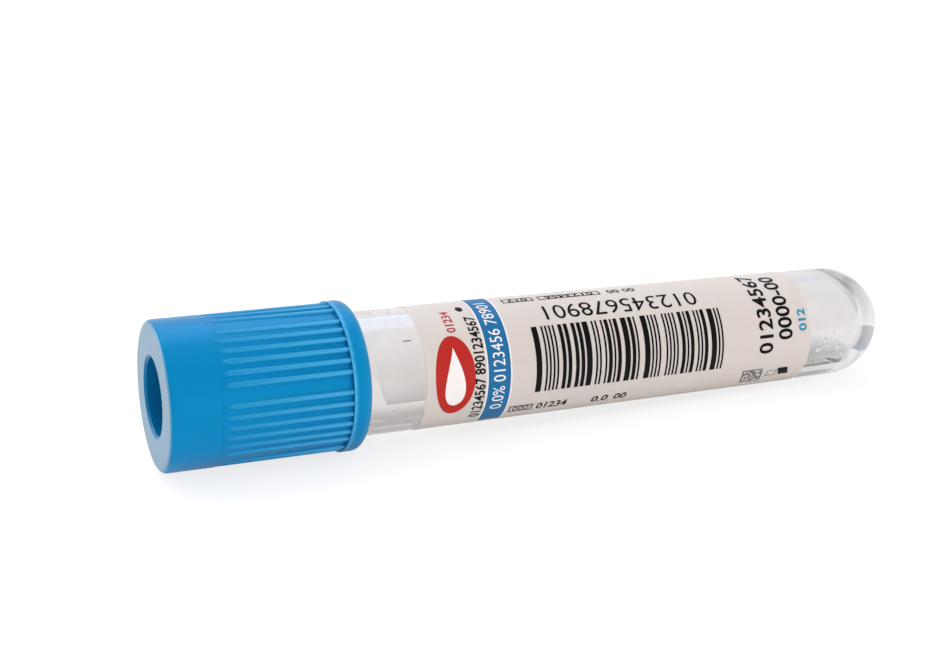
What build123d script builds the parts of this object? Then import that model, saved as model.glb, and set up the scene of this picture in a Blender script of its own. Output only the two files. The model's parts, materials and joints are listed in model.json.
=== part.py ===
"""Evacuated blood collection tube with a pull-off safety closure, lying at rest.

A moulded clear tube with a round bottom holds a little liquid additive. A rubber stopper seals its mouth
and is carried by a ribbed plastic shield, whose skirt reaches down over the tube. A paper label is wrapped
round the tube and leaves a clear strip, through which the level is read.

The tube lies on its round bottom and on the rim of the shield, so its axis slopes. Every piece is drawn by
stations along that axis: 0 is the tip of the round bottom, and the mouth is at tube_length.
X runs along the tube, with the shield at -X. Z is up, the floor is Z = 0, and lengths are in millimetres.
"""

import os
from math import asin, atan2, cos, degrees, hypot, radians, sin, tan

from build123d import *

# Tube
tube_length = 75.0
tube_mouth_radius = 6.5
tube_draft = radians(0.29)
tube_wall = 0.9
tube_bottom_thickness = 1.6
tube_mouth_round = 0.2

# Clearances between the pieces
skirt_clearance = 0.15
plug_clearance = 0.03
seat_gap = 0.02
liquid_gap = 0.02
label_gap = 0.005

# Rubber stopper: a flange on the mouth and a plug with two seal bands in the bore
flange_overhang = 0.35
flange_thickness = 3.4
flange_round = 0.35
plug_length = 8.0
plug_lead_in = 0.45
seal_band_length = 1.8
seal_waist_depth = 0.2
needle_recess_radius = 2.6
needle_recess_floor_radius = 1.9
needle_recess_depth = 0.9
under_well_radius = 2.5
under_well_depth = 5.4
under_well_round = 1.2

# Shield: a well for the needle holder, a waisted grip and a skirt over the tube. Its walls stand on the
# radius of the skirt's bore, and the waist starts front_step below the plain front.
needle_well_radius = 3.93
needle_well_depth = 6.2
needle_well_round = 0.25
front_wall = 0.97
front_round = 0.55
front_length = 5.1
front_step = 0.03
waist_wall = 0.66
skirt_overlap = 10.7
skirt_lead_in = 0.1
rim_wall = 1.13
rim_width = 2.05
rim_round = 1.0
core_wall = 1.1
core_roof = 1.3

# Grip ribs: equal groups round the waist, with a wide plain gap between two groups. Their crests stay
# level while the waist rises towards them, and over rib_taper they narrow to points at the front.
rib_groups = 6
ribs_per_group = 6
rib_pitch = 8.85
rib_gap_angle = -75.6
rib_half_angle = 2.4
rib_tip_half_angle = 0.2
rib_taper = 1.3
rib_crest_wall = 0.96
shoulder_wall = 0.84
rib_crest_share = 0.4

# Label
label_start = 11.9
label_length = 46.4
label_thickness = 0.08
label_from_angle = -154.5
label_wrap = 309.0

# Liquid additive, a pool with a rounded front that stays in the round bottom
liquid_depth = 2.0
liquid_length = 21.5
liquid_front_round = 1.2


def outer_radius(station):
    """Radius of the tube's drafted outside."""
    return tube_mouth_radius - (tube_length - station) * tan(tube_draft)


def bore_radius(station):
    """Radius of the tube's bore, which has the same draft."""
    return outer_radius(station) - tube_wall


def round_bottom(radius_at, tip_station):
    """Radius of the sphere that closes a drafted cone at tip_station, tangent to the cone."""
    return radius_at(tip_station) * cos(tube_draft) / (1 - sin(tube_draft))


dome_radius = round_bottom(outer_radius, 0)
cavity_radius = round_bottom(bore_radius, tube_bottom_thickness)
cavity_centre = tube_bottom_thickness + cavity_radius

# Radii of the closure
skirt_bore_radius = tube_mouth_radius + skirt_clearance
flange_radius = tube_mouth_radius + flange_overhang
pocket_radius = flange_radius + seat_gap
front_radius = skirt_bore_radius + front_wall
waist_radius = skirt_bore_radius + waist_wall
shoulder_radius = skirt_bore_radius + shoulder_wall
rim_radius = skirt_bore_radius + rim_wall
rib_crest_radius = skirt_bore_radius + rib_crest_wall
rib_tip_radius = front_radius - front_step
core_inner_radius = needle_well_radius + core_wall
core_outer_radius = front_radius - core_wall

# Stations of the closure
skirt_end = tube_length - skirt_overlap
rim_step = skirt_end + rim_width
plug_end = tube_length - plug_length
flange_bottom = tube_length + seat_gap
flange_top = flange_bottom + flange_thickness
pocket_bottom = tube_length
pocket_top = flange_top + seat_gap
shield_end = pocket_top + needle_well_depth
waist_start = shield_end - front_length
rib_shoulder = waist_start - rib_taper
core_end = shield_end - core_roof

# The slope at which the round bottom and the rounded corner of the rim both touch the floor
corner_station = skirt_end + rim_round
corner_radius = rim_radius - rim_round
rest_span = corner_station - dome_radius
slope = atan2(corner_radius, rest_span) + asin((rim_round - dome_radius) / hypot(rest_span, corner_radius))

# The tip of the round bottom, with the middle of the whole length over the origin
front_corner_station = shield_end - front_round
front_corner_radius = front_radius - front_round
low_x = -front_corner_station * cos(slope) - front_corner_radius * sin(slope) - front_round
high_x = dome_radius * (1 - cos(slope))
tip = Vector(-(low_x + high_x) / 2, 0, dome_radius * (1 - sin(slope)))

along = Vector(-cos(slope), 0, sin(slope))
upward = Vector(sin(slope), 0, cos(slope))
tube_axis = Axis(tip, along)


def profile_at(angle):
    """Plane through the axis, turned from the top of the tube towards +Y: x is the station, y the radius."""
    turn = radians(angle)
    return Plane(origin=tip, x_dir=along, z_dir=Vector(0, 1, 0) * cos(turn) - upward * sin(turn))


def cross_plane(station):
    """Plane across the axis, whose angles also run from the top of the tube towards +Y."""
    return Plane(origin=tip + along * station, x_dir=upward, z_dir=along)


def corner(sketch, station, radius):
    """The vertex of a profile sketch that lies nearest to a station and a radius."""
    return sketch.vertices().sort_by_distance((station, radius))[0]


profile_plane = profile_at(0)

# Tube: drafted wall, round bottom, and a softly rounded mouth
with BuildPart() as tube:
    with BuildSketch(profile_plane) as tube_profile:
        with BuildLine():
            dome = CenterArc((dome_radius, 0), dome_radius, 180, degrees(tube_draft) - 90)
            outside = Line(dome @ 1, (tube_length, tube_mouth_radius))
            mouth = Line(outside @ 1, (tube_length, bore_radius(tube_length)))
            cavity = CenterArc((cavity_centre, 0), cavity_radius, 180, degrees(tube_draft) - 90)
            Line(mouth @ 1, cavity @ 1)
            Line(cavity @ 0, dome @ 0)
        make_face()
        fillet(corner(tube_profile, tube_length, tube_mouth_radius), tube_mouth_round)
        fillet(corner(tube_profile, tube_length, bore_radius(tube_length)), tube_mouth_round)
    revolve(axis=tube_axis)
tube.part.label = "tube"

# Stopper: the flange sits on the mouth, and the seal bands of the plug run in the bore
upper_band = tube_length - seal_band_length
lower_band = plug_end + plug_lead_in + seal_band_length
with BuildPart() as stopper:
    with BuildSketch(profile_plane) as stopper_profile:
        with BuildLine():
            Polyline(
                (plug_end, under_well_radius),
                (plug_end, bore_radius(plug_end) - plug_lead_in),
                (plug_end + plug_lead_in, bore_radius(plug_end + plug_lead_in) - plug_clearance),
                (lower_band, bore_radius(lower_band) - plug_clearance),
                (lower_band + seal_waist_depth, bore_radius(lower_band) - plug_clearance - seal_waist_depth),
                (upper_band - seal_waist_depth, bore_radius(upper_band) - plug_clearance - seal_waist_depth),
                (upper_band, bore_radius(upper_band) - plug_clearance),
                (flange_bottom, bore_radius(tube_length) - plug_clearance),
                (flange_bottom, flange_radius),
                (flange_top, flange_radius),
                (flange_top, needle_recess_radius),
                (flange_top - needle_recess_depth, needle_recess_floor_radius),
                (flange_top - needle_recess_depth, 0),
                (plug_end + under_well_depth, 0),
                (plug_end + under_well_depth, under_well_radius),
                close=True,
            )
        make_face()
        fillet(corner(stopper_profile, flange_bottom, flange_radius), flange_round)
        fillet(corner(stopper_profile, flange_top, flange_radius), flange_round)
        fillet(corner(stopper_profile, plug_end + under_well_depth, under_well_radius), under_well_round)
    revolve(axis=tube_axis)
stopper.part.label = "stopper"

rib_group_angle = 360 / rib_groups
group_spread = rib_group_angle - (ribs_per_group - 1) * rib_pitch


def around(radius, angle):
    return Vector(radius * cos(radians(angle)), radius * sin(radians(angle)))


def ribbed_section(station, root_radius, crest_radius, half_angle):
    """Section of the waist: flat-sided ribs, flat floors inside a group, and an arc between groups."""
    with BuildSketch(cross_plane(station)) as section:
        with BuildLine():
            for group in range(rib_groups):
                for rib in range(ribs_per_group):
                    middle = rib_gap_angle + group * rib_group_angle + group_spread / 2 + rib * rib_pitch
                    last = rib == ribs_per_group - 1
                    spacing = group_spread if last else rib_pitch
                    foot = around(root_radius, middle + half_angle)
                    next_foot = around(root_radius, middle + spacing - half_angle)
                    Polyline(
                        around(root_radius, middle - half_angle),
                        around(crest_radius, middle - half_angle * rib_crest_share),
                        around(crest_radius, middle + half_angle * rib_crest_share),
                        foot,
                    )
                    if last:
                        ThreePointArc(foot, around(root_radius, middle + spacing / 2), next_foot)
                    else:
                        Line(foot, next_foot)
        make_face()
    return section.sketch


# Shield: one moulding, ribbed outside. Inside are the needle well, the pocket for the flange with a lip
# below it, the bore of the skirt, and a ring of core that keeps the walls even.
with BuildPart() as shield:
    loft(
        [
            ribbed_section(rim_step, waist_radius, rib_crest_radius, rib_half_angle),
            ribbed_section(rib_shoulder, shoulder_radius, rib_crest_radius, rib_half_angle),
            ribbed_section(waist_start, rib_tip_radius, rib_tip_radius, rib_tip_half_angle),
        ],
        ruled=True,
    )
    with BuildSketch(profile_plane) as front_outline:
        with BuildLine():
            Polyline(
                (waist_start, 0),
                (waist_start, front_radius),
                (shield_end, front_radius),
                (shield_end, 0),
                close=True,
            )
        make_face()
        fillet(corner(front_outline, shield_end, front_radius), front_round)
    revolve(axis=tube_axis)
    with BuildSketch(profile_plane) as rim_outline:
        with BuildLine():
            Polyline(
                (skirt_end, 0),
                (skirt_end, rim_radius),
                (rim_step, rim_radius),
                (rim_step, 0),
                close=True,
            )
        make_face()
        fillet(corner(rim_outline, skirt_end, rim_radius), rim_round)
    revolve(axis=tube_axis)
    with BuildSketch(profile_plane) as shield_bores:
        with BuildLine():
            Polyline(
                (skirt_end, 0),
                (skirt_end, skirt_bore_radius + skirt_lead_in),
                (skirt_end + skirt_lead_in, skirt_bore_radius),
                (pocket_bottom, skirt_bore_radius),
                (pocket_bottom, pocket_radius),
                (pocket_top, pocket_radius),
                (pocket_top, core_outer_radius),
                (core_end, core_outer_radius),
                (core_end, core_inner_radius),
                (pocket_top, core_inner_radius),
                (pocket_top, needle_well_radius),
                (shield_end - needle_well_round, needle_well_radius),
                (shield_end, needle_well_radius + needle_well_round),
                (shield_end, 0),
                close=True,
            )
        make_face()
    revolve(axis=tube_axis, mode=Mode.SUBTRACT)
shield.part.label = "shield"

# Label: a wrap on the drafted wall that stops short of itself
label_end = label_start + label_length
with BuildPart() as label:
    with BuildSketch(profile_at(label_from_angle)):
        with BuildLine():
            Polyline(
                (label_start, outer_radius(label_start) + label_gap),
                (label_end, outer_radius(label_end) + label_gap),
                (label_end, outer_radius(label_end) + label_gap + label_thickness),
                (label_start, outer_radius(label_start) + label_gap + label_thickness),
                close=True,
            )
        make_face()
    revolve(axis=tube_axis, revolution_arc=label_wrap)
label.part.label = "label"

# Additive: what of the end of the cavity lies below the level of the liquid
pool_front = tube_bottom_thickness + liquid_length
liquid_level = (tip + along * cavity_centre).Z - cavity_radius + liquid_depth
with BuildPart() as additive:
    with BuildSketch(profile_plane):
        with BuildLine():
            pool_end = CenterArc((cavity_centre, 0), cavity_radius - liquid_gap, 180, degrees(tube_draft) - 90)
            pool_side = Line(pool_end @ 1, (pool_front, bore_radius(pool_front) - liquid_gap))
            Polyline(pool_side @ 1, (pool_front, 0), pool_end @ 0)
        make_face()
    revolve(axis=tube_axis)
    split(bisect_by=Plane.XY.offset(liquid_level), keep=Keep.BOTTOM)
    pool_top = additive.faces().sort_by(Axis.Z)[-1]
    fillet(pool_top.edges().sort_by(Axis.X)[0], liquid_front_round)
additive.part.label = "additive"

os.makedirs("parts", exist_ok=True)
export_step(tube.part, "parts/tube.step")
export_step(stopper.part, "parts/stopper.step")
export_step(shield.part, "parts/shield.step")
export_step(label.part, "parts/label.step")
export_step(additive.part, "parts/additive.step")
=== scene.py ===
"""Looks for the blood collection tube: materials, clear tube and liquid, print, camera, studio.

Lengths are in metres, apart from the label print, which is laid out in millimetres."""
import json
import math
import random

import bmesh
import bpy
from mathutils import Matrix, Vector


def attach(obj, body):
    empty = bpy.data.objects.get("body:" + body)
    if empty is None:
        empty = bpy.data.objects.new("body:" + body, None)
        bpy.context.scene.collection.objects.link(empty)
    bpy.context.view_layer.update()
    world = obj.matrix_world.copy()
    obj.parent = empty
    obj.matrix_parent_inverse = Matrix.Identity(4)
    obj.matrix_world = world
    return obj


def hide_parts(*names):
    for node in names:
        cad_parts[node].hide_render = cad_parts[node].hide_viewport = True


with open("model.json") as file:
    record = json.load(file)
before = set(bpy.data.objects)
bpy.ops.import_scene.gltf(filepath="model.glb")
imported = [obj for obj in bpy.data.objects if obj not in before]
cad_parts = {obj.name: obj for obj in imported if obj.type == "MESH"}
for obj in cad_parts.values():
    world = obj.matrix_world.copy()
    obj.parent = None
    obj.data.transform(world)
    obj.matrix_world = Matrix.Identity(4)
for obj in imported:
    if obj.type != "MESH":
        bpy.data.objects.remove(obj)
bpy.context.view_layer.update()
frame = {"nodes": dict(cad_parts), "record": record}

MM = 0.001
NODES = frame["nodes"]
RECORD = frame["record"]

# ------------------------------------------------------- stations and angles

# Stations run along the tube's axis from the round bottom's tip to the cap, and angles run
# round it from the top towards +Y, so the camera's side is near -90 degrees.
WELL = next(m for m in RECORD["mounts"] if m["name"] == "needle_well")
ALONG = Vector(WELL["axis"]).normalized()
UPWARD = (Vector((0, 0, 1)) - ALONG * ALONG.z).normalized()
ASIDE = ALONG.cross(UPWARD)
if ASIDE.y < 0:
    ASIDE = -ASIDE
AXIS_POINT = Vector(WELL["pos_m"])
TIP = AXIS_POINT + ALONG * min(
    (v.co - AXIS_POINT).dot(ALONG) for v in NODES["tube"].data.vertices
)


def station_of(point):
    return (point - TIP).dot(ALONG)


def radius_of(point):
    return (point - TIP - ALONG * station_of(point)).length


def at(station, angle, radius):
    """Point from a station and radius in metres and an angle in degrees."""
    turn = math.radians(angle)
    return TIP + ALONG * station + (UPWARD * math.cos(turn) + ASIDE * math.sin(turn)) * radius


def wall_line(node):
    """(station, radius) at both ends of a node's outer wall."""
    rim = 0.02 * MM  # how far from an end a point still belongs to it
    points = [(station_of(v.co), radius_of(v.co)) for v in NODES[node].data.vertices]
    first, last = min(s for s, r in points), max(s for s, r in points)
    near = max(r for s, r in points if s < first + rim)
    far = max(r for s, r in points if s > last - rim)
    return (first, near), (last, far)


LABEL_ENDS = wall_line("label")


def label_radius(station):
    (s0, r0), (s1, r1) = LABEL_ENDS
    return r0 + (r1 - r0) * (station - s0) / (s1 - s0)


# ----------------------------------------------------------------- materials


class Graph:
    """A node tree with helpers for the nodes used here.

    Their values are numbers, colours and vectors, or the outputs of other nodes."""

    def __init__(self, tree):
        self.nodes, self.links = tree.nodes, tree.links

    def feed(self, socket, value):
        if isinstance(value, bpy.types.NodeSocket):
            self.links.new(value, socket)
        else:
            socket.default_value = value

    def node(self, kind, inputs, **settings):
        """New node, with its inputs by name or index."""
        node = self.nodes.new(kind)
        for name, value in settings.items():
            setattr(node, name, value)
        for key, value in inputs.items():
            self.feed(node.inputs[key], value)
        return node

    def math(self, operation, first, second):
        node = self.node("ShaderNodeMath", {0: first, 1: second}, operation=operation)
        return node.outputs["Value"]

    def times(self, first, second):
        return self.math("MULTIPLY", first, second)

    def vector(self, operation, first, second, output="Vector"):
        node = self.node("ShaderNodeVectorMath", {0: first, 1: second}, operation=operation)
        return node.outputs[output]

    def towards(self, vector, direction):
        """Component of a vector in a direction."""
        return self.vector("DOT_PRODUCT", vector, direction, "Value")

    def ramp(self, value, low, high, start=0.0, end=1.0, kind="LINEAR"):
        """From low to high as a value goes from start to end, and level beyond them."""
        inputs = {"Value": value, "From Min": start, "From Max": end}
        inputs.update({"To Min": low, "To Max": high})
        return self.node("ShaderNodeMapRange", inputs, interpolation_type=kind).outputs["Result"]

    def blend(self, share, low, high):
        """Mix of two colours."""
        low, high = ((*side, 1) if isinstance(side, tuple) else side for side in (low, high))
        inputs = {0: share, 6: low, 7: high}
        return self.node("ShaderNodeMix", inputs, data_type="RGBA").outputs[2]

    def mix_shaders(self, share, first, second):
        return self.node("ShaderNodeMixShader", {0: share, 1: first, 2: second}).outputs["Shader"]

    def seen_directly(self):
        """1 for camera, glossy and transmission rays, which show the white studio, or else 0."""
        path = self.node("ShaderNodeLightPath", {})
        result = path.outputs["Is Camera Ray"]
        for kind in ("Is Glossy Ray", "Is Transmission Ray"):
            result = self.math("MAXIMUM", result, path.outputs[kind])
        return result


class Finish(Graph):
    """A Principled material, with helpers for what varies over its surface."""

    def __init__(self, name, **values):
        self.material = bpy.data.materials.new(name)
        self.material.use_nodes = True
        super().__init__(self.material.node_tree)
        self.shader = self.nodes["Principled BSDF"]
        for socket, value in values.items():
            self.put(socket.replace("_", " "), value)
        coordinates = self.node("ShaderNodeTexCoord", {})
        self.place, self.facing = coordinates.outputs["Object"], coordinates.outputs["Normal"]

    def put(self, socket, value):
        self.feed(self.shader.inputs[socket], value)

    def noise(self, scale, detail=3.0, stretch=(1, 1, 1)):
        """Noise whose first stretch runs along the tube's axis."""
        tilt = (0, math.asin(ALONG.z), 0)
        inputs = {"Vector": self.place, "Rotation": tilt, "Scale": stretch}
        turned = self.node("ShaderNodeMapping", inputs).outputs["Vector"]
        inputs = {"Vector": turned, "Scale": scale, "Detail": detail}
        return self.node("ShaderNodeTexNoise", inputs).outputs["Fac"]

    def outward(self):
        """1 where a face looks away from the axis and 0 where it looks towards it."""
        change = 0.5 * MM  # how far the radius has to point either way
        arm = self.vector("SUBTRACT", self.place, AXIS_POINT)
        back = self.vector("MULTIPLY", self.towards(arm, ALONG), ALONG)
        radial = self.vector("SUBTRACT", arm, back)
        return self.ramp(self.towards(radial, self.facing), 0, 1, -change, change)

    def hollow(self, reach, inside=False):
        """0 on open faces, rising in grooves, or on crests and edges with inside set."""
        deepest = 0.35  # share of open sky at which it is 1
        inputs = {"Distance": reach}
        node = self.node("ShaderNodeAmbientOcclusion", inputs, inside=inside, samples=8)
        return self.ramp(node.outputs["AO"], 1.0, 0.0, deepest, 1.0)

    def bump(self, value, height):
        """height is in metres from the value's 0 to its 1."""
        socket = self.shader.inputs["Normal"]
        inputs = {"Distance": height, "Height": value}
        if socket.links:
            inputs["Normal"] = socket.links[0].from_socket
        self.feed(socket, self.node("ShaderNodeBump", inputs).outputs["Normal"])


def clear_plastic(name, ior):
    f = Finish(name, Transmission_Weight=1.0, IOR=ior)
    haze = f.noise(160, 3, stretch=(0.25, 1, 1))
    f.put("Base Color", f.blend(haze, (0.955, 0.945, 0.935), (0.97, 0.96, 0.95)))
    f.put("Roughness", f.ramp(haze, 0.01, 0.03))
    f.bump(f.noise(55, 2, stretch=(0.3, 1, 1)), 0.006 * MM)
    return f.material


def citrate(name, ior):
    f = Finish(name, Transmission_Weight=1.0, IOR=ior)
    swirl = f.noise(120, 2)
    f.put("Base Color", f.blend(swirl, (0.975, 0.985, 0.985), (0.99, 0.995, 0.995)))
    f.put("Roughness", f.ramp(swirl, 0.0, 0.01))
    return f.material


def cap_plastic():
    """Semi-gloss blue, with painted shade in the grooves and on faces that look towards the axis, a
    painted highlight on the ribs' crests, and a painted sheen that makes the flat end face paler."""
    tint = (0.10, 0.75, 1.0, 1)
    f = Finish("blue_cap_plastic", IOR=1.5, Specular_IOR_Level=0.4, Specular_Tint=tint)
    end_face = max(v.co.dot(ALONG) for v in NODES["shield"].data.vertices)
    painted_sheen_from, painted_sheen_to = end_face - 0.6 * MM, end_face - 0.3 * MM
    grip_end, waist = end_face - 5.9 * MM, end_face - 5.4 * MM
    groove_reach, crest_highlight_reach = 0.6 * MM, 0.48 * MM
    along = f.towards(f.place, ALONG)
    # Painted sheen: the flat end face gets a paler colour, which stands in for the reflection of
    # bright surroundings seen at a grazing angle.
    flat = f.ramp(f.towards(f.facing, ALONG), 0, 1, 0.7, 0.97)
    painted_sheen = f.times(flat, f.ramp(along, 0, 1, painted_sheen_from, painted_sheen_to))
    # Painted highlight: proud crests and edges of the ribs, between the grip's end and the waist,
    # get a paler colour.
    painted_crest_highlight = f.times(f.hollow(crest_highlight_reach, inside=True), f.ramp(along, 1, 0, grip_end, waist))
    colour = f.blend(f.noise(70, 4), (0.001, 0.200, 0.455), (0.002, 0.224, 0.500))
    # Painted shade: the colour turns darker in the grooves, where ambient occlusion finds them.
    colour = f.blend(f.hollow(groove_reach), colour, (0.0, 0.115, 0.31))
    colour = f.blend(painted_crest_highlight, colour, (0.12, 0.57, 0.90))
    # Painted shade: faces that look towards the axis, such as inside the needle well, get a darker
    # blue.
    colour = f.blend(f.outward(), (0.002, 0.16, 0.37), colour)
    f.put("Base Color", f.blend(painted_sheen, colour, (0.185, 0.31, 0.425)))
    f.put("Roughness", f.ramp(f.noise(900, 3), 0.26, 0.36))
    f.bump(f.noise(5200, 2), 0.004 * MM)
    f.bump(f.noise(240, 3, stretch=(0.4, 1, 1)), 0.01 * MM)
    return f.material


def label_paper():
    """Warm white paper that lets some light through, more of it on its inner face, which scatters
    deeper and is painted paler to stand in for the light reaching it.
    """
    depth_outside, depth_inside = 0.25 * MM, 1.2 * MM
    f = Finish("label_paper", IOR=1.48, Specular_IOR_Level=0.3, Subsurface_Weight=1.0)
    f.put("Subsurface Radius", (1.0, 0.95, 0.9))
    outward = f.outward()
    fibre = f.noise(2600, 5, stretch=(0.35, 1, 1))
    outside = f.blend(f.noise(90, 3), (0.674, 0.609, 0.572), (0.702, 0.637, 0.600))
    # Painted light: the inner face, seen through the clear wall, is much paler than the outer one,
    # standing in for the light that reaches it.
    f.put("Base Color", f.blend(outward, (0.955, 0.865, 0.795), outside))
    f.put("Subsurface Scale", f.ramp(outward, depth_inside, depth_outside))
    f.put("Roughness", f.ramp(fibre, 0.38, 0.55))
    f.bump(fibre, 0.003 * MM)
    f.bump(f.noise(180, 2), 0.012 * MM)
    return f.material


def ink(name, dark, light, sheen=0.3):
    f = Finish(name, IOR=1.5, Specular_IOR_Level=sheen)
    mottle = f.noise(3000, 4)
    f.put("Base Color", f.blend(mottle, dark, light))
    f.put("Roughness", f.ramp(mottle, 0.36, 0.50))
    f.bump(mottle, 0.002 * MM)
    return f.material


def rubber():
    f = Finish("butyl_rubber", IOR=1.52)
    grain = f.noise(1500, 5)
    f.put("Base Color", f.blend(grain, (0.10, 0.105, 0.12), (0.15, 0.155, 0.17)))
    f.put("Roughness", f.ramp(grain, 0.55, 0.8))
    f.bump(grain, 0.01 * MM)
    return f.material


def dress(node, material):
    data = NODES[node].data
    data.materials.clear()
    data.materials.append(material)


dress("shield", cap_plastic())
dress("stopper", rubber())

# -------------------------------------------------------------- mesh helpers

ON_PLANE = 1e-8  # distance at which a vertex counts as on a cutting plane
ON_AXIS = 1e-9


def place_in_scene(name, data):
    item = bpy.data.objects.new(name, data)
    bpy.context.scene.collection.objects.link(item)
    return item


def piece_of(mesh, name, material):
    """Object with a bmesh's shape, which is freed."""
    data = bpy.data.meshes.new(name)
    mesh.to_mesh(data)
    mesh.free()
    data.materials.append(material)
    return place_in_scene(name, data)


def opened(piece):
    mesh = bmesh.new()
    mesh.from_mesh(piece.data)
    return mesh


def skin(mesh, loops, closed=True):
    """Faces from each loop of vertices to the next."""
    for first, second in zip(loops, loops[1:]):
        for i in range(len(first) if closed else len(first) - 1):
            j = (i + 1) % len(first)
            mesh.faces.new(dict.fromkeys([first[i], first[j], second[j], second[i]]))


def smooth(mesh):
    bmesh.ops.recalc_face_normals(mesh, faces=mesh.faces)
    for face in mesh.faces:
        face.smooth = True


def arc(cx, cy, radius, start, end, steps):
    """Points of an arc, with angles in degrees from the direction of the stations."""
    turns = [math.radians(start + (end - start) * i / steps) for i in range(steps + 1)]
    return [(cx + radius * math.cos(t), cy + radius * math.sin(t)) for t in turns]


def lathe(name, profile, material, steps=144):
    """Turned body from (station, radius) points that start and end on the axis."""
    mesh = bmesh.new()
    rings = []
    for station, radius in profile:
        if radius < ON_AXIS:
            rings.append([mesh.verts.new(at(station, 0, 0))] * steps)
        else:
            angles = [360 * i / steps for i in range(steps)]
            rings.append([mesh.verts.new(at(station, angle, radius)) for angle in angles])
    skin(mesh, rings)
    smooth(mesh)
    return piece_of(mesh, name, material)


# ---------------------------------------------------------------- clear tube

TUBE_LENGTH = 75 * MM
MOUTH_RADIUS = 6.5 * MM
TUBE_WALL = 0.9 * MM
BOTTOM_WALL = 1.6 * MM
MOUTH_ROUND = 0.2 * MM
TUBE_DRAFT = math.radians(0.29)
PLASTIC_IOR = 1.57
LIQUID_IOR = 1.34
DOME_STEPS, CAVITY_STEPS, ROUND_STEPS = 48, 44, 6


def outer_radius(station):
    return MOUTH_RADIUS - (TUBE_LENGTH - station) * math.tan(TUBE_DRAFT)


def inner_radius(station):
    return outer_radius(station) - TUBE_WALL


def bottom_radius(radius_at, tip):
    """Radius of the sphere that closes a drafted wall at a tip, tangent to the wall."""
    return radius_at(tip) * math.cos(TUBE_DRAFT) / (1 - math.sin(TUBE_DRAFT))


dome = bottom_radius(outer_radius, 0)
cavity = bottom_radius(inner_radius, BOTTOM_WALL)
tangent = 90 + math.degrees(TUBE_DRAFT)
outside = arc(dome, 0, dome, 180, tangent, DOME_STEPS)
inside = arc(BOTTOM_WALL + cavity, 0, cavity, tangent, 180, CAVITY_STEPS)
outside[0], inside[-1] = (0, 0), (BOTTOM_WALL, 0)
lip = TUBE_LENGTH - MOUTH_ROUND
mouth = arc(lip, MOUTH_RADIUS - MOUTH_ROUND, MOUTH_ROUND, 90, 0, ROUND_STEPS)
mouth += arc(lip, inner_radius(TUBE_LENGTH) + MOUTH_ROUND, MOUTH_ROUND, 0, -90, ROUND_STEPS)
plastic = clear_plastic("clear_plastic", PLASTIC_IOR)
clear_tube = lathe("clear_tube", outside + mouth + inside, plastic)

# The liquid wets the wall below its level, so light passes there from plastic to liquid with
# no air between, which the wall's second material says.
pool = [v.co for v in NODES["additive"].data.vertices]
level = max(p.z for p in pool)
pool_front = max(station_of(p) for p in pool)
clear_tube.data.materials.append(clear_plastic("wetted_plastic", PLASTIC_IOR / LIQUID_IOR))


def on_cavity(face):
    centre = face.calc_center_median()
    station = station_of(centre)
    return radius_of(centre) < inner_radius(station) + 0.1 * TUBE_WALL and station > BOTTOM_WALL / 2


mesh = opened(clear_tube)
faces = [face for face in mesh.faces if on_cavity(face)]
edges_and_verts = {part for face in faces for part in (*face.verts, *face.edges)}
bmesh.ops.bisect_plane(
    mesh, geom=[*edges_and_verts, *faces], plane_co=(0, 0, level), plane_no=(0, 0, 1), dist=ON_PLANE
)
for face in mesh.faces:
    centre = face.calc_center_median()
    if on_cavity(face) and centre.z < level and station_of(centre) < pool_front:
        face.material_index = 1
mesh.to_mesh(clear_tube.data)
mesh.free()
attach(clear_tube, "tube_body")
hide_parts("tube")

# -------------------------------------------------------------------- liquid

FRONT_ROUND = 2.4 * MM
FRONT_STEPS = 12
POOL_GAP = 0.01 * MM

pool_wall = [(s, r - POOL_GAP) for s, r in reversed(inside[:-1])]
front_rise = inner_radius(pool_front) - POOL_GAP - FRONT_ROUND
front = arc(pool_front - FRONT_ROUND, front_rise, FRONT_ROUND, 90, 0, FRONT_STEPS)
pool_profile = [(BOTTOM_WALL + POOL_GAP, 0)] + pool_wall + front + [(pool_front, 0)]
liquid = lathe("liquid", pool_profile, citrate("liquid_side", 1.0))
liquid.data.materials.append(citrate("liquid_level", LIQUID_IOR))
mesh = opened(liquid)
cut = bmesh.ops.bisect_plane(
    mesh, geom=[*mesh.verts, *mesh.edges, *mesh.faces], plane_co=(0, 0, level),
    plane_no=(0, 0, 1), clear_outer=True, dist=ON_PLANE
)
rim = [part for part in cut["geom_cut"] if isinstance(part, bmesh.types.BMEdge)]
for face in bmesh.ops.contextual_create(mesh, geom=rim)["faces"]:
    face.material_index = 1
    face.smooth = False
bmesh.ops.recalc_face_normals(mesh, faces=mesh.faces)
mesh.to_mesh(liquid.data)
mesh.free()
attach(liquid, "tube_body")
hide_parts("additive")

# Small drops of the liquid cling to the wall above the pool.
DROP_PLACES = (  # station in mm, angle in degrees and radius in mm
    (10.2, -103, 0.42), (9.5, -93, 0.30), (9.1, -99, 0.22), (8.2, -84, 0.18), (7.6, -103, 0.36),
    (6.8, -113, 0.26), (5.2, -106, 0.20), (4.7, -116, 0.46), (4.0, -126, 0.32), (9.8, -121, 0.34),
    (8.0, -118, 0.20), (61.4, -116, 0.24), (9.0, 112, 0.38), (6.2, 101, 0.26),
)
DROP_GAP = 0.004 * MM
DROP_HEIGHT = 0.34  # this and the two waves of its outline are shares of a drop's radius
DROP_WAVES = (0.12, 0.07)
DROP_STEPS, DROP_RINGS = 28, 7


def wall_radius(station):
    """Radius of the cavity at a station, on its round bottom or its straight wall."""
    centre = BOTTOM_WALL + cavity
    if station > centre:
        return inner_radius(station)
    return min(inner_radius(station), math.sqrt(cavity**2 - (centre - station) ** 2))


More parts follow.
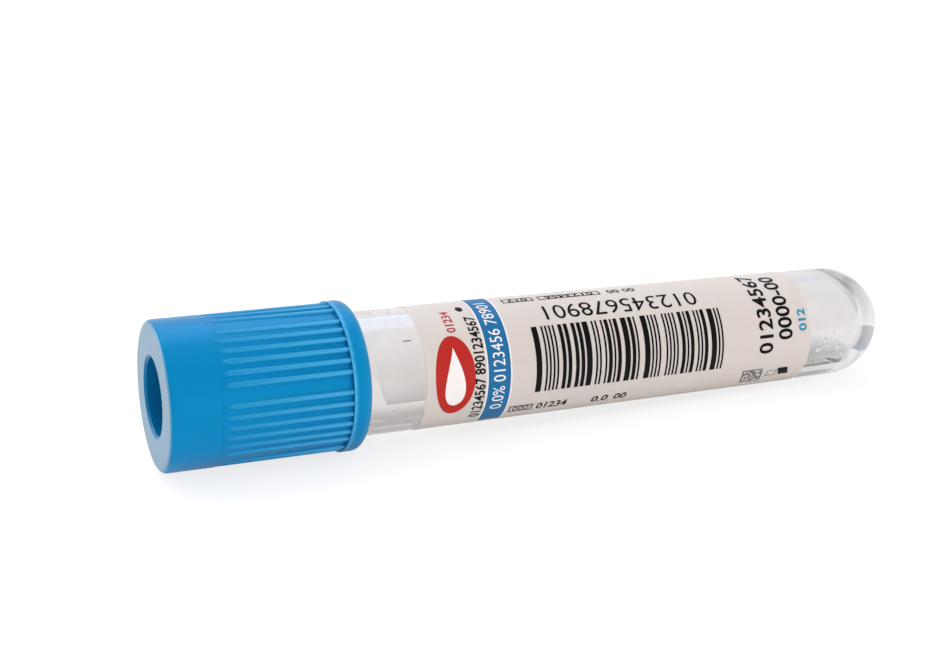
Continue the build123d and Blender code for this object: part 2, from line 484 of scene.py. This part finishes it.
def cling(mesh, station, angle, size, wobble):
    """Lens-shaped drop on the cavity wall, with an uneven outline."""
    two, three = DROP_WAVES
    phase = [wobble.uniform(0, 6.3) for _ in DROP_WAVES]
    degrees_per_metre = math.degrees(1 / wall_radius(station))
    layers = []
    for height in (0.0, DROP_HEIGHT * size):
        rings = []
        for ring in range(DROP_RINGS + 1):
            out = math.sin(math.pi / 2 * ring / DROP_RINGS)
            points = []
            for i in range(DROP_STEPS if ring else 1):
                t = 2 * math.pi * i / DROP_STEPS
                uneven = 1 + two * math.sin(2 * t + phase[0]) + three * math.sin(3 * t + phase[1])
                s = station + size * out * uneven * math.cos(t)
                a = angle + size * out * uneven * math.sin(t) * degrees_per_metre
                r = wall_radius(s) - DROP_GAP - height * (1 - out**2)
                points.append(mesh.verts.new(at(s, a, r)))
            rings.append(points if ring else points * DROP_STEPS)
        layers.append(rings)
    flat, domed = layers
    skin(mesh, flat + domed[-2::-1])  # the two layers share their rim
    for vert in domed[-1]:
        mesh.verts.remove(vert)


mesh = bmesh.new()
wobble = random.Random(11)
for station, angle, size in DROP_PLACES:
    cling(mesh, station * MM, angle, size * MM, wobble)
smooth(mesh)
drops = piece_of(mesh, "drops", citrate("liquid_drops", LIQUID_IOR))
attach(drops, "tube_body")

# --------------------------------------------------------------- label sheet

LABEL_HALF_WRAP = 154.5
LABEL_STEPS = 206
SHARP = math.radians(30)
GLUE = 0.01 * MM  # the label's inner face lies this far inside the wall, with no air between

mesh = bmesh.new()
layers = []
for radius_at in (lambda station: outer_radius(station) - GLUE, label_radius):
    for station, _ in LABEL_ENDS:
        angles = [LABEL_HALF_WRAP * (2 * i / LABEL_STEPS - 1) for i in range(LABEL_STEPS + 1)]
        layers.append([mesh.verts.new(at(station, angle, radius_at(station))) for angle in angles])
inner_near, inner_far, outer_near, outer_far = layers
loops = [inner_near, inner_far, outer_far, outer_near]
skin(mesh, loops + loops[:1], closed=False)
for i in (0, LABEL_STEPS):
    mesh.faces.new([loop[i] for loop in loops])
smooth(mesh)
for edge in mesh.edges:
    edge.smooth = edge.calc_face_angle() < SHARP
label = piece_of(mesh, "label_sheet", label_paper())
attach(label, "tube_body")
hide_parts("label")

# --------------------------------------------------------------------- print

PRINT_LIFT = 0.006 * MM
PRINT_THICKNESS = 0.008 * MM
WRAP_STEP = 0.25  # mm of arc between cuts, so that flat shapes follow the wrap
SLIVER = 0.0005  # mm, the width below which a face is dropped
ARC_RADIUS = 6.45  # mm, at which the layout's arcs and angles agree


def arc_mm(angle):
    return math.radians(angle) * ARC_RADIUS


class Print:
    """Flat shapes in millimetres, x along the stations and y round the wrap, bent on a surface."""

    def __init__(self, name, material, lift=PRINT_LIFT, surface=label_radius):
        self.name, self.material, self.lift, self.surface = name, material, lift, surface
        self.mesh = bmesh.new()

    def polygon(self, points):
        self.mesh.faces.new([self.mesh.verts.new((x, y, 0)) for x, y in points])

    def bar(self, s0, s1, angle0, angle1, slant=0.0):
        y0, y1 = arc_mm(angle0), arc_mm(angle1)
        self.polygon([(s0, y0), (s1, y0), (s1 + slant, y1), (s0 + slant, y1)])

    def outline(self, s0, s1, angle0, angle1, line):
        """A box drawn with a line of one width."""
        step = math.degrees(line / ARC_RADIUS)
        self.bar(s0, s1, angle0, angle0 + step)
        self.bar(s0, s1, angle1 - step, angle1)
        self.bar(s0, s0 + line, angle0 + step, angle1 - step)
        self.bar(s1 - line, s1, angle0 + step, angle1 - step)

    def digits(self, text, station, angle, height, turn=0, length=None, weight=0.0):
        """Plain numerals centred on a point, turned anticlockwise as seen from outside.

        length is that of the whole line, which is stretched or squeezed to it."""
        curve = bpy.data.curves.new("digits", "FONT")
        curve.body = text
        curve.align_x, curve.align_y = "LEFT", "BOTTOM"
        curve.offset = weight
        curve.resolution_u = 3
        holder = place_in_scene("digits", curve)
        bpy.context.view_layer.update()
        flat = holder.evaluated_get(bpy.context.evaluated_depsgraph_get())
        data = bpy.data.meshes.new_from_object(flat)
        xs, ys = [v.co.x for v in data.vertices], [v.co.y for v in data.vertices]
        tall = height / (max(ys) - min(ys))
        wide = length / (max(xs) - min(xs)) if length else tall
        centre = Vector(((max(xs) + min(xs)) / 2, (max(ys) + min(ys)) / 2, 0))
        data.transform(
            Matrix.Translation((station, arc_mm(angle), 0))
            @ Matrix.Diagonal((-1, 1, 1, 1))  # stations run to the left as seen from outside
            @ Matrix.Rotation(math.radians(turn), 4, "Z")
            @ Matrix.Diagonal((wide, tall, 1, 1))
            @ Matrix.Translation(-centre)
        )
        known = len(self.mesh.verts)
        self.mesh.from_mesh(data)
        self.mesh.verts.ensure_lookup_table()
        bmesh.ops.remove_doubles(self.mesh, verts=self.mesh.verts[known:], dist=SLIVER)
        bpy.data.objects.remove(holder)

    def lay(self):
        """Cut the shapes across the wrap, bend them and give them a thickness."""
        mesh = self.mesh
        ys = [v.co.y for v in mesh.verts]
        y = math.ceil(min(ys) / WRAP_STEP) * WRAP_STEP
        while y < max(ys):
            everything = [*mesh.verts, *mesh.edges, *mesh.faces]
            bmesh.ops.bisect_plane(
                mesh, geom=everything, plane_co=(0, y, 0), plane_no=(0, 1, 0), dist=ON_PLANE / MM
            )
            y += WRAP_STEP
        bmesh.ops.triangulate(mesh, faces=mesh.faces)
        bmesh.ops.dissolve_degenerate(mesh, edges=mesh.edges, dist=SLIVER)
        for v in mesh.verts:
            station = v.co.x * MM
            angle = math.degrees(v.co.y / ARC_RADIUS)
            v.co = at(station, angle, self.surface(station) + self.lift)
        for face in mesh.faces:
            face.normal_update()
            centre = face.calc_center_median()
            if face.normal.dot(centre - TIP - ALONG * station_of(centre)) < 0:
                face.normal_flip()
        piece = piece_of(mesh, self.name, self.material)
        thick = piece.modifiers.new("thickness", "SOLIDIFY")
        thick.thickness, thick.offset = PRINT_THICKNESS, -1
        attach(piece, "tube_body")


def closed_curve(cx, cy, shape, steps):
    """Points round a centre, where shape gives x and y at each turn."""
    turns = [2 * math.pi * i / steps for i in range(steps)]
    return [(cx + x, cy + y) for x, y in map(shape, turns)]


def ellipse(cx, cy, rx, ry, steps=64):
    return closed_curve(cx, cy, lambda t: (rx * math.cos(t), ry * math.sin(t)), steps)


def drop(cx, cy, width, height, steps=48):
    """A drop that points towards +y."""

    def shape(t):
        return width / 2 * math.sin(t) * math.sin(t / 2) ** 1.5, height / 2 * math.cos(t)

    return closed_curve(cx, cy, shape, steps)


BLACK = ink("black_ink", (0.0022, 0.0017, 0.0017), (0.007, 0.006, 0.006), sheen=0.12)
GREY = ink("grey_ink", (0.10, 0.098, 0.10), (0.17, 0.165, 0.165))
BLUE = ink("blue_ink", (0.001, 0.132, 0.325), (0.003, 0.150, 0.360))
RED = ink("red_ink", (0.44, 0.009, 0.005), (0.50, 0.014, 0.008))
CYAN = ink("cyan_ink", (0.01, 0.26, 0.44), (0.02, 0.29, 0.48))
WHITE = ink("white_ink", (0.86, 0.82, 0.80), (0.89, 0.85, 0.83))

# The layout, in stations in mm and angles in degrees, as measured from the photo.
BAND_FROM, BAND_TO = 48.95, 51.45
BAND_LOW, BAND_HIGH = -146, 34
BAND_EDGE_NEAR, BAND_EDGE_FAR = 0.02, 0.18
CODE_FROM, CODE_TO = 23.3, 46.0
CODE_LOW, CODE_HIGH = -108.3, -44.3
CODE_MODULES = 101
OVAL_STATION = 55.1
FINE, BOLD = 0.02, 0.03  # weights of small numerals
PATCH_CELLS = 12
PATCH_STATION, PATCH_ANGLE = 17.1, -137.5
CELL, CELL_PITCH, ROW_SHIFT = 0.2, 0.22, 0.04  # mm along the stations
ROW, ROW_PITCH = 1.7, 1.8  # degrees

black = Print("label_print_black", BLACK)

# Bars and gaps of one to three modules in a fixed shuffled order, which encode nothing.
shuffle = random.Random(4)
modules = [1]
while sum(modules) < CODE_MODULES or len(modules) % 2 == 0:
    modules.append(shuffle.choice((1, 1, 1, 2, 2, 3)))
module = (CODE_TO - CODE_FROM) / sum(modules)
start = CODE_FROM
for i, width in enumerate(modules):
    if i % 2 == 0:
        black.bar(start, start + width * module, CODE_LOW, CODE_HIGH)
    start += width * module

black.digits("012345678901", 34.6, -29.5, 2.0, turn=180, length=18.4)
black.digits("01234567", 17.75, -48.5, 1.85, turn=90, length=11.0, weight=FINE)
black.digits("0000-00", 15.25, -45.5, 1.85, turn=90, length=8.8, weight=FINE)
black.digits("01234", 43.4, -129.0, 1.2, length=3.6, weight=FINE)
black.outline(45.7, 48.4, -134.0, -124.0, 0.14)
black.digits("000", 47.05, -129.0, 0.8, length=1.9)
black.digits("0.0", 37.6, -130.5, 1.2, length=2.0, weight=FINE)
black.digits("00", 35.1, -130.5, 1.2, length=1.5, weight=FINE)
black.bar(13.7, 15.0, -129.0, -118.0, slant=0.5)
black.polygon(ellipse(52.85, arc_mm(-12.5), 0.45, 0.55, 5))
black.digits("01234567 8901234567", 52.35, -79.0, 1.2, turn=90, length=12.2, weight=FINE)
black.outline(44.0, 47.6, -9.5, -1.0, 0.16)
black.digits("012", 45.8, -5.2, 0.75, turn=180, length=2.3, weight=FINE)
black.outline(36.0, 43.4, -9.5, -1.0, 0.16)
black.digits("0123456", 39.7, -5.2, 0.75, turn=180, length=5.8, weight=FINE)
black.digits("00 00", 33.4, -5.2, 0.95, turn=180, length=3.4, weight=FINE)
black.lay()

grey = Print("label_print_grey", GREY)
grey.outline(15.45, 16.75, -129.0, -120.5, 0.10)
edge_cells = (0, PATCH_CELLS - 1)
for row in range(PATCH_CELLS):
    for column in range(PATCH_CELLS):
        if row in edge_cells or column in edge_cells or shuffle.random() < 0.5:
            station = PATCH_STATION + column * CELL_PITCH + row * ROW_SHIFT
            angle = PATCH_ANGLE + row * ROW_PITCH
            grey.bar(station, station + CELL, angle, angle + ROW)
grey.lay()

dash = Print("tube_print_grey", GREY, surface=outer_radius)
dash.bar(59.3, 60.2, -45.4, -44.2)
dash.lay()

blue = Print("label_print_blue", BLUE)
blue.bar(BAND_FROM, BAND_TO, BAND_LOW, BAND_HIGH)
blue.lay()

cyan = Print("label_print_cyan", CYAN)
cyan.digits("012", 12.95, -66.0, 1.05, turn=90, length=2.6, weight=BOLD)
cyan.lay()

red = Print("label_print_red", RED)
red.polygon(ellipse(OVAL_STATION, arc_mm(-83.3), 2.2, 4.35))
red.digits("01234", 54.75, -28.0, 1.0, turn=90, length=3.0, weight=FINE)
red.lay()

white = Print("label_print_white", WHITE, lift=2 * PRINT_LIFT)
white.polygon(drop(OVAL_STATION, arc_mm(-83.6), 3.2, 6.3))
white.bar(BAND_FROM - BAND_EDGE_FAR, BAND_FROM - BAND_EDGE_NEAR, BAND_LOW, BAND_HIGH)
white.bar(BAND_TO + BAND_EDGE_NEAR, BAND_TO + BAND_EDGE_FAR, BAND_LOW, BAND_HIGH)
white.digits("0.0% 0123456 78901", 50.2, -64.0, 1.35, turn=90, length=13.4)
white.lay()

# -------------------------------------------------------------------- camera

IMAGE_WIDTH = 938
FOCAL_PIXELS = 1600
SENSOR_MM = 36
CAMERA_PLACE = Vector((-71.555, -147.323, 63.783)) * MM
CAMERA_FORWARD = Vector((0.37420, 0.87385, -0.31043)).normalized()


def aim(item, place, direction):
    item.location = place
    item.rotation_mode = "QUATERNION"
    item.rotation_quaternion = direction.to_track_quat("-Z", "Y")


camera_data = bpy.data.cameras.new("camera")
camera_data.sensor_width = SENSOR_MM
camera_data.lens = SENSOR_MM * FOCAL_PIXELS / IMAGE_WIDTH
camera_data.clip_start = 0.005
camera_data.clip_end = 20
camera = place_in_scene("camera", camera_data)
aim(camera, CAMERA_PLACE, CAMERA_FORWARD)
bpy.context.scene.camera = camera

# -------------------------------------------------------------------- studio

WHITE_LIGHT = (1, 1, 1)
LAMPS = (  # name, place and size in metres, watts, colour, and the rays that don't see it
    ("top_panel", (-0.1, 0.75, 1.6), (1.4, 1.2), 10, (0.84, 0.93, 1.12), ("glossy",)),
    ("front_panel", (0.4, -1.5, 0.1), (1.4, 0.5), 8, WHITE_LIGHT, ("glossy", "transmission")),
    ("left_panel", (-1.2, 1.0, 0.35), (0.9, 0.6), 9, WHITE_LIGHT, ("transmission",)),
    ("window_panel", (-0.1, 0.78, 1.55), (1.6, 1.2), 9.5, (0.56, 0.82, 1.35),
     ("diffuse", "transmission")),
)

for name, place, size, watts, colour, unseen_by in LAMPS:
    data = bpy.data.lights.new(name, "AREA")
    data.shape = "RECTANGLE"
    data.size, data.size_y = size
    data.energy = watts
    data.color = colour
    lamp = place_in_scene(name, data)
    aim(lamp, place, -Vector(place))
    for ray in unseen_by:
        setattr(lamp, "visible_" + ray, False)

# World: an even soft light. Clear and glossy surfaces see a white backdrop that turns grey to
# the left and on the side of the viewer, and bluish overhead, as in a room. Light on its way to
# a diffuse surface, such as the paper behind the clear wall, is white all round.
AMBIENT_COLOUR, AMBIENT_STRENGTH = (1.0, 0.965, 0.94, 1), 0.90
VIEWER_SIDE, BACKDROP = 0.46, 0.85
LEFT_SHADE = 0.54
LEVEL_TINT, OVERHEAD_TINT = (1.0, 0.985, 0.97), (0.82, 0.91, 1.12)

world = bpy.data.worlds.new("studio")
bpy.context.scene.world = world
world.use_nodes = True
room = Graph(world.node_tree)
room.nodes.clear()
direction = room.node("ShaderNodeTexCoord", {}).outputs["Generated"]


def turning(axis, low, high, start, end):
    """Smooth step from low to high as the view direction turns towards an axis."""
    return room.ramp(room.towards(direction, axis), low, high, start, end, "SMOOTHSTEP")


back = turning((0, 1, 0), VIEWER_SIDE, BACKDROP, -0.3, 0.9)
left = turning((-1, 0, 0), 1.0, LEFT_SHADE, 0.15, 0.7)
overhead = turning((0, 0, 1), 0.0, 1.0, 0.1, 0.7)
diffuse_depth = room.node("ShaderNodeLightPath", {}).outputs["Diffuse Depth"]
after_diffuse = room.math("GREATER_THAN", diffuse_depth, 0.5)
strengths = {0: after_diffuse, 2: room.times(back, left), 3: 1.0}
seen_strength = room.node("ShaderNodeMix", strengths).outputs[0]
seen_colour = room.blend(overhead, LEVEL_TINT, OVERHEAD_TINT)
ambient, seen = (
    room.node("ShaderNodeBackground", {"Color": colour, "Strength": strength}).outputs["Background"]
    for colour, strength in ((AMBIENT_COLOUR, AMBIENT_STRENGTH), (seen_colour, seen_strength))
)
surface = room.mix_shaders(room.seen_directly(), ambient, seen)
room.node("ShaderNodeOutputWorld", {"Surface": surface})

# Floor: white paper that keeps part of the shadow and otherwise glows white to the camera. Clear
# and glossy surfaces see less of its glow, and a warmer one.
FLOOR_REACH = 3.0
GLOW_STRENGTH = (0.68, 1.2)  # for clear and glossy surfaces, and for the camera
GLOW_SHARE = (0.38, 0.64)
GLOW_COLOUR = ((1.0, 0.955, 0.915), (1.0, 1.0, 1.0))

floor_data = bpy.data.meshes.new("floor")
corners = [(x * FLOOR_REACH, y * FLOOR_REACH, 0) for x, y in ((-1, -1), (1, -1), (1, 1), (-1, 1))]
floor_data.from_pydata(corners, [], [(0, 1, 2, 3)])
floor = place_in_scene("floor", floor_data)
sheet = Finish("floor_sheet", Roughness=0.9, Specular_IOR_Level=0.1)
sheet.put("Base Color", sheet.blend(sheet.noise(40, 2), (0.86, 0.86, 0.86), (0.88, 0.88, 0.88)))
camera_ray = sheet.node("ShaderNodeLightPath", {}).outputs["Is Camera Ray"]
inputs = {"Color": sheet.blend(camera_ray, *GLOW_COLOUR)}
inputs["Strength"] = sheet.ramp(camera_ray, *GLOW_STRENGTH)
glow = sheet.node("ShaderNodeEmission", inputs).outputs["Emission"]
share = sheet.times(sheet.seen_directly(), sheet.ramp(camera_ray, *GLOW_SHARE))
surface = sheet.mix_shaders(share, sheet.shader.outputs["BSDF"], glow)
sheet.feed(sheet.nodes["Material Output"].inputs["Surface"], surface)
floor_data.materials.append(sheet.material)

bpy.context.scene.view_settings.view_transform = "Standard"
cycles = bpy.context.scene.cycles
cycles.max_bounces = 24
cycles.glossy_bounces = 16
cycles.transmission_bounces = 24
